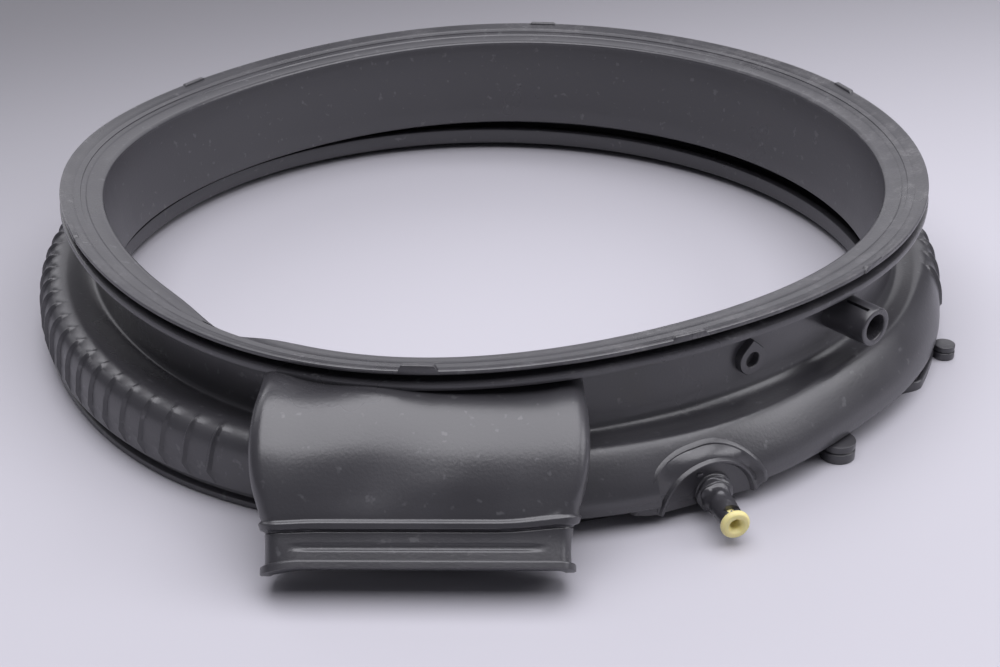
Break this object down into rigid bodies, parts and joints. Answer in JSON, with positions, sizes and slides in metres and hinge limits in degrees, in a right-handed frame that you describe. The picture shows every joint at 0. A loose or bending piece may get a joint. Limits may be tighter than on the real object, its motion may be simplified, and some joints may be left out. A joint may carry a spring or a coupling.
{
  "type": "washing machine door seal",
  "caption": "Rubber door boot of a front-loading washer-dryer, with bellows, a flat air duct, a drain spout and a spray nozzle.",
  "frame": {"origin": "middle of the part's bounding box, on the plane it lies on", "axes": "+Z from the drum side up to the door side, along the axis of the ring; -Y towards the mouth of the air duct"},
  "size_m": [0.393, 0.4156, 0.0699],
  "materials": {
    "rubber": "satin",
    "nozzle_plastic": "satin"
  },
  "bodies": {
    "root": {"rubber_seal": "rubber", "spray_nozzle": "nozzle_plastic"}
  },
  "joints": []
}
